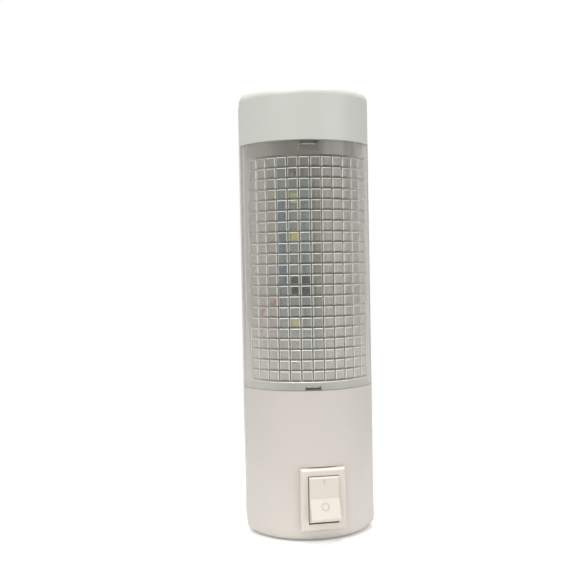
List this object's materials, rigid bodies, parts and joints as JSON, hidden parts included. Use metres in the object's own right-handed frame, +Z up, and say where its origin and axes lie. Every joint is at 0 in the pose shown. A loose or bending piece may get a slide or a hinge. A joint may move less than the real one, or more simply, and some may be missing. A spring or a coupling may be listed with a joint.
{
  "type": "plug-in night light",
  "caption": "Plug-in LED night light: tall rounded white case, clear studded lens over a small light board, rocker switch at the foot and two flat plug blades at the rear.",
  "frame": {"origin": "on the rear face of the plug pad that meets the outlet, midway between the two plug blades", "axes": "+Z up along the pillar, +Y into the wall along the blades, +X to the right of someone facing the light"},
  "size_m": [0.044, 0.0533, 0.15],
  "materials": {
    "white_shell": "moulded semi-gloss",
    "cap_white": "moulded semi-gloss",
    "clear_lens": "clear moulded plastic with bevelled studs",
    "switch_white": "moulded",
    "rocker_white": "moulded",
    "plunger_white": "moulded",
    "retainer_white": "moulded",
    "plated_brass": "nickel plated",
    "bare_brass": "stamped",
    "contact_silver": "riveted",
    "copper_strip": "stamped",
    "screw_steel": "zinc plated",
    "spring_steel": "drawn wire",
    "board_white": "solder mask",
    "led_white": "moulded",
    "phosphor": "silicone fill",
    "rectifier_black": "moulded",
    "tin": "tin plated",
    "chip_grey": "ceramic",
    "resistor_blue": "lacquered",
    "red_pvc": "extruded",
    "white_pvc": "extruded",
    "sleeve_white": "shrunk"
  },
  "bodies": {
    "housing": {"back_shell": "white_shell", "lower_housing": "white_shell", "upper_cap": "cap_white", "lens": "clear_lens", "housing_screws": "screw_steel", "plug_blade_left": "plated_brass", "plug_blade_right": "plated_brass", "blade_retainer": "retainer_white", "retainer_screws": "screw_steel", "led_board": "board_white", "board_screws": "screw_steel", "led_packages": "led_white", "led_phosphors": "phosphor", "bridge_rectifier": "rectifier_black", "rectifier_leads": "tin", "chip_resistor": "chip_grey", "dropper_resistors": "resistor_blue", "resistor_leads": "tin", "switch_body": "switch_white", "fixed_contact": "contact_silver", "terminal_common": "bare_brass", "terminal_load": "bare_brass", "red_wire": "red_pvc", "live_wire": "red_pvc", "neutral_wire": "white_pvc", "terminal_sleeves": "sleeve_white", "solder_joints": "tin"},
    "rocker": {"switch_rocker": "rocker_white", "rocker_plunger": "plunger_white", "rocker_spring": "spring_steel"},
    "lever": {"contact_lever": "copper_strip", "moving_contact": "contact_silver"}
  },
  "joints": [
    {"name": "rocker_hinge", "type": "hinge", "parent": "housing", "child": "rocker", "pos_m": [0.00234, -0.03048, -0.0174], "axis": [0.9951, 0.0993, 0], "range_deg": [0, 26]},
    {"name": "contact_hinge", "type": "hinge", "parent": "housing", "child": "lever", "pos_m": [0.00155, -0.02251, -0.0174], "axis": [0.9951, 0.0993, 0], "range_deg": [-13, 0]}
  ],
  "couplings": [
    {"joint": "contact_hinge", "follows": "rocker_hinge", "ratio": -0.5}
  ]
}
